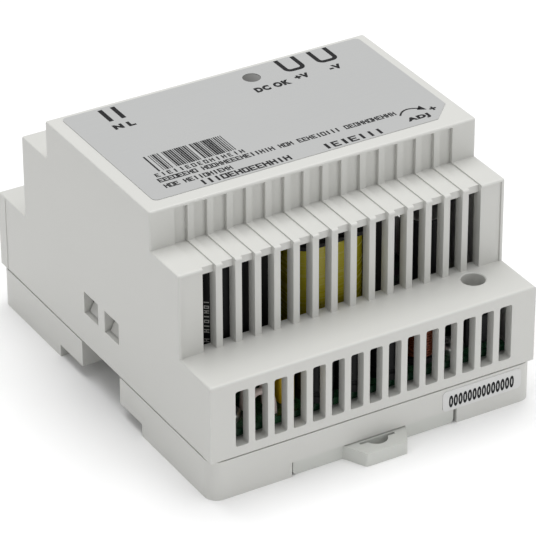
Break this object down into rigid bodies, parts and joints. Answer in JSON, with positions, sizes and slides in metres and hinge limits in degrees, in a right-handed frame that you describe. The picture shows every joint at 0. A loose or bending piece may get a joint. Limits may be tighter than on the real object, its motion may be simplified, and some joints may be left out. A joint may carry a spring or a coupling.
{
  "type": "din rail power supply",
  "caption": "Stepped plastic power supply for a 35 mm rail, with vent slots, screw terminals behind, a pull-out rail clip and its full circuit board inside.",
  "frame": {"origin": "middle of the housing's footprint, on the base plane, which is also the middle of the rail's track", "axes": "+X along the rail, -Y the vented front with the clip's tab, +Y the terminal side, +Z from the rail to the label"},
  "size_m": [0.078, 0.0977, 0.0562],
  "materials": {
    "housing_plastic": "satin, very fine moulded grain",
    "clip_plastic": "satin",
    "label_film": "satin silver grey",
    "serial_paper": "smooth",
    "smoked_lens": "polished",
    "board_laminate": "solder mask",
    "screw_steel": "zinc plated",
    "cage_metal": "nickel plated",
    "contact_copper": "tinned",
    "terminal_moulding": "satin",
    "trimmer_moulding": "satin",
    "rotor_moulding": "satin",
    "spacer_moulding": "satin",
    "led_resin": "clear tinted",
    "fuse_moulding": "gloss",
    "thermistor_coating": "matte",
    "varistor_coating": "dipped epoxy",
    "film_case": "satin",
    "film_case_small": "satin",
    "ferrite": "matte",
    "enamelled_copper": "enamel",
    "bobbin_moulding": "matte",
    "yellow_tape": "film tape",
    "package_moulding": "matte",
    "can_sleeve": "heat-shrunk film",
    "sink_aluminium": "plain mill finish",
    "pad_rubber": "matte",
    "wire_insulation": "satin"
  },
  "bodies": {
    "housing": {"base": "housing_plastic", "board_screws": "screw_steel", "bridge_rectifier": "package_moulding", "bulk_capacitor": "can_sleeve", "circuit_board": "board_laminate", "controller_chip": "package_moulding", "cover": "housing_plastic", "film_capacitor": "film_case_small", "filter_choke_core": "ferrite", "filter_choke_winding": "enamelled_copper", "fuse": "fuse_moulding", "heatsink_screws": "screw_steel", "input_terminal_block": "terminal_moulding", "inrush_thermistor": "thermistor_coating", "insulating_pads": "pad_rubber", "jumper_wires": "wire_insulation", "led_spacer": "spacer_moulding", "line_choke_base": "bobbin_moulding", "line_choke_core": "ferrite", "line_choke_windings": "enamelled_copper", "optocoupler": "package_moulding", "output_capacitor_1": "can_sleeve", "output_capacitor_2": "can_sleeve", "output_capacitor_3": "can_sleeve", "output_diode": "package_moulding", "output_inductor_core": "ferrite", "output_inductor_winding": "enamelled_copper", "output_terminal_block": "terminal_moulding", "primary_heatsink": "sink_aluminium", "secondary_heatsink": "sink_aluminium", "serial_label": "serial_paper", "status_led": "led_resin", "status_window": "smoked_lens", "supply_capacitor_1": "can_sleeve", "supply_capacitor_2": "can_sleeve", "supply_capacitor_3": "can_sleeve", "surge_varistor": "varistor_coating", "switching_transistor": "package_moulding", "terminal_contacts": "contact_copper", "top_label": "label_film", "transformer_bobbin": "bobbin_moulding", "transformer_core": "ferrite", "transformer_winding": "yellow_tape", "trimmer_body": "trimmer_moulding", "x_capacitor": "film_case", "y_capacitor": "varistor_coating"},
    "clip": {"din_clip": "clip_plastic"},
    "rotor": {"trimmer_rotor": "rotor_moulding"},
    "screw_1": {"terminal_screw_1": "screw_steel"},
    "cage_1": {"terminal_cage_1": "cage_metal"},
    "screw_2": {"terminal_screw_2": "screw_steel"},
    "cage_2": {"terminal_cage_2": "cage_metal"},
    "screw_3": {"terminal_screw_3": "screw_steel"},
    "cage_3": {"terminal_cage_3": "cage_metal"},
    "screw_4": {"terminal_screw_4": "screw_steel"},
    "cage_4": {"terminal_cage_4": "cage_metal"},
    "screw_5": {"terminal_screw_5": "screw_steel"},
    "cage_5": {"terminal_cage_5": "cage_metal"},
    "screw_6": {"terminal_screw_6": "screw_steel"},
    "cage_6": {"terminal_cage_6": "cage_metal"}
  },
  "joints": [
    {"name": "clip_slide", "type": "slide", "parent": "housing", "child": "clip", "axis": [0, -1, 0], "range_m": [0, 0.0045], "stiffness_N_per_m": 1500, "springref_m": -0.001},
    {"name": "trimmer_turn", "type": "hinge", "parent": "housing", "child": "rotor", "pos_m": [0.0294, -0.0373, 0.0195], "axis": [0, 0, 1], "range_deg": [-135, 135]},
    {"name": "screw_1_turn", "type": "hinge", "parent": "housing", "child": "screw_1", "pos_m": [-0.02824, 0.0396, 0.0225], "axis": [0, 0, -1], "range_deg": [0, 2160]},
    {"name": "cage_1_rise", "type": "slide", "parent": "housing", "child": "cage_1", "axis": [0, 0, 1], "range_m": [0, 0.003]},
    {"name": "screw_2_turn", "type": "hinge", "parent": "housing", "child": "screw_2", "pos_m": [-0.02316, 0.0396, 0.0225], "axis": [0, 0, -1], "range_deg": [0, 2160]},
    {"name": "cage_2_rise", "type": "slide", "parent": "housing", "child": "cage_2", "axis": [0, 0, 1], "range_m": [0, 0.003]},
    {"name": "screw_3_turn", "type": "hinge", "parent": "housing", "child": "screw_3", "pos_m": [0.01428, 0.0396, 0.0225], "axis": [0, 0, -1], "range_deg": [0, 2160]},
    {"name": "cage_3_rise", "type": "slide", "parent": "housing", "child": "cage_3", "axis": [0, 0, 1], "range_m": [0, 0.003]},
    {"name": "screw_4_turn", "type": "hinge", "parent": "housing", "child": "screw_4", "pos_m": [0.01936, 0.0396, 0.0225], "axis": [0, 0, -1], "range_deg": [0, 2160]},
    {"name": "cage_4_rise", "type": "slide", "parent": "housing", "child": "cage_4", "axis": [0, 0, 1], "range_m": [0, 0.003]},
    {"name": "screw_5_turn", "type": "hinge", "parent": "housing", "child": "screw_5", "pos_m": [0.02444, 0.0396, 0.0225], "axis": [0, 0, -1], "range_deg": [0, 2160]},
    {"name": "cage_5_rise", "type": "slide", "parent": "housing", "child": "cage_5", "axis": [0, 0, 1], "range_m": [0, 0.003]},
    {"name": "screw_6_turn", "type": "hinge", "parent": "housing", "child": "screw_6", "pos_m": [0.02952, 0.0396, 0.0225], "axis": [0, 0, -1], "range_deg": [0, 2160]},
    {"name": "cage_6_rise", "type": "slide", "parent": "housing", "child": "cage_6", "axis": [0, 0, 1], "range_m": [0, 0.003]}
  ],
  "couplings": [
    {"joint": "screw_1_turn", "follows": "cage_1_rise", "rad_per_m": 12566},
    {"joint": "screw_2_turn", "follows": "cage_2_rise", "rad_per_m": 12566},
    {"joint": "screw_3_turn", "follows": "cage_3_rise", "rad_per_m": 12566},
    {"joint": "screw_4_turn", "follows": "cage_4_rise", "rad_per_m": 12566},
    {"joint": "screw_5_turn", "follows": "cage_5_rise", "rad_per_m": 12566},
    {"joint": "screw_6_turn", "follows": "cage_6_rise", "rad_per_m": 12566}
  ]
}
